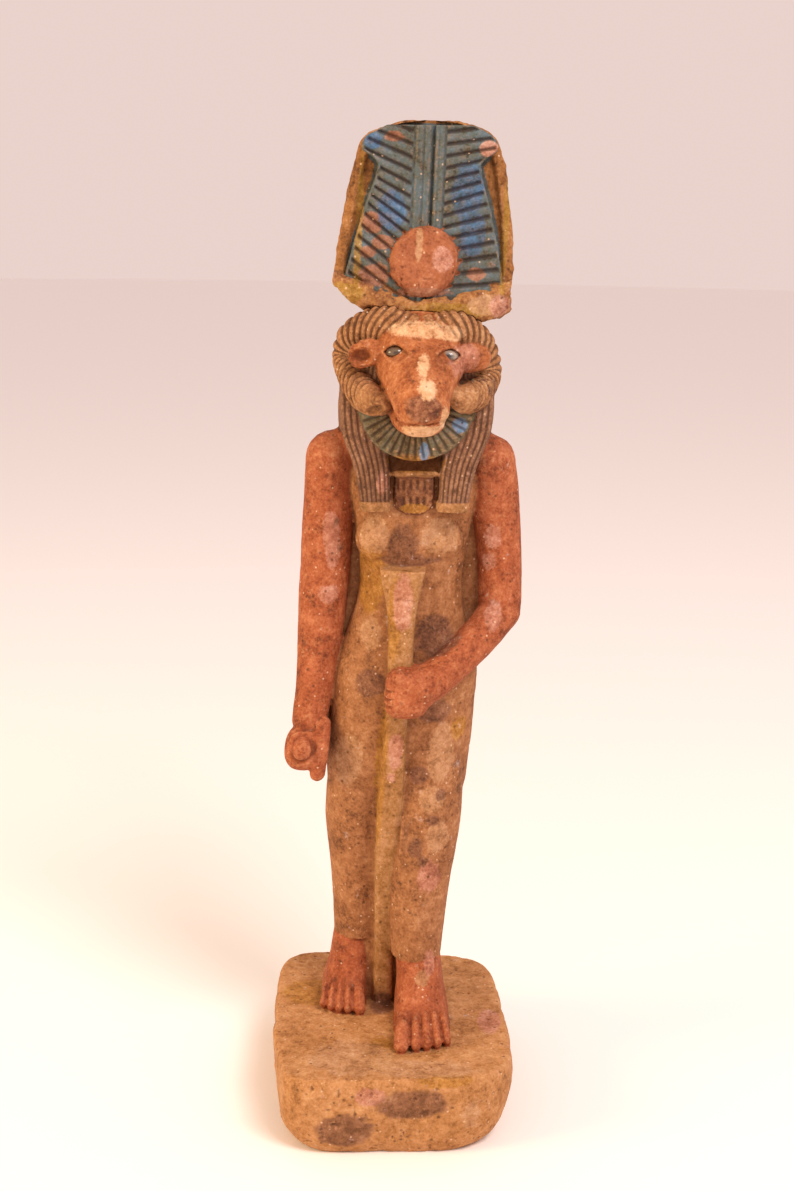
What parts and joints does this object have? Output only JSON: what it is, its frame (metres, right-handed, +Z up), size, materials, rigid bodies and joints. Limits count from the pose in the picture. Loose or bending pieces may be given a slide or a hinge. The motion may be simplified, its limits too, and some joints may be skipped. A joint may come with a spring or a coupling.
{
  "type": "ram-headed striding figure statuette",
  "caption": "Painted stone statuette of a ram-headed figure in a sheath dress, holding a staff, on a block plinth, with a feather crown and disk.",
  "frame": {"origin": "centre of the plinth's underside", "axes": "+Z up through the figure, -Y the way the figure faces, +X towards the figure's left side"},
  "size_m": [0.0806, 0.0988, 0.318],
  "materials": {
    "painted_stone": "weathered paint in red ochre, tan and dark brown on pale stone, matt, dusty and pitted",
    "painted_crown_stone": "worn blue paint on the feathers, ochre borders and a red-brown disk, matt",
    "polished_eye_stone": "polished grey inlay with a dark rim, glossy"
  },
  "bodies": {
    "root": {"ram_headed_figure": "painted_stone", "feather_crown": "painted_crown_stone", "right_eye_inlay": "polished_eye_stone", "left_eye_inlay": "polished_eye_stone"}
  },
  "joints": []
}
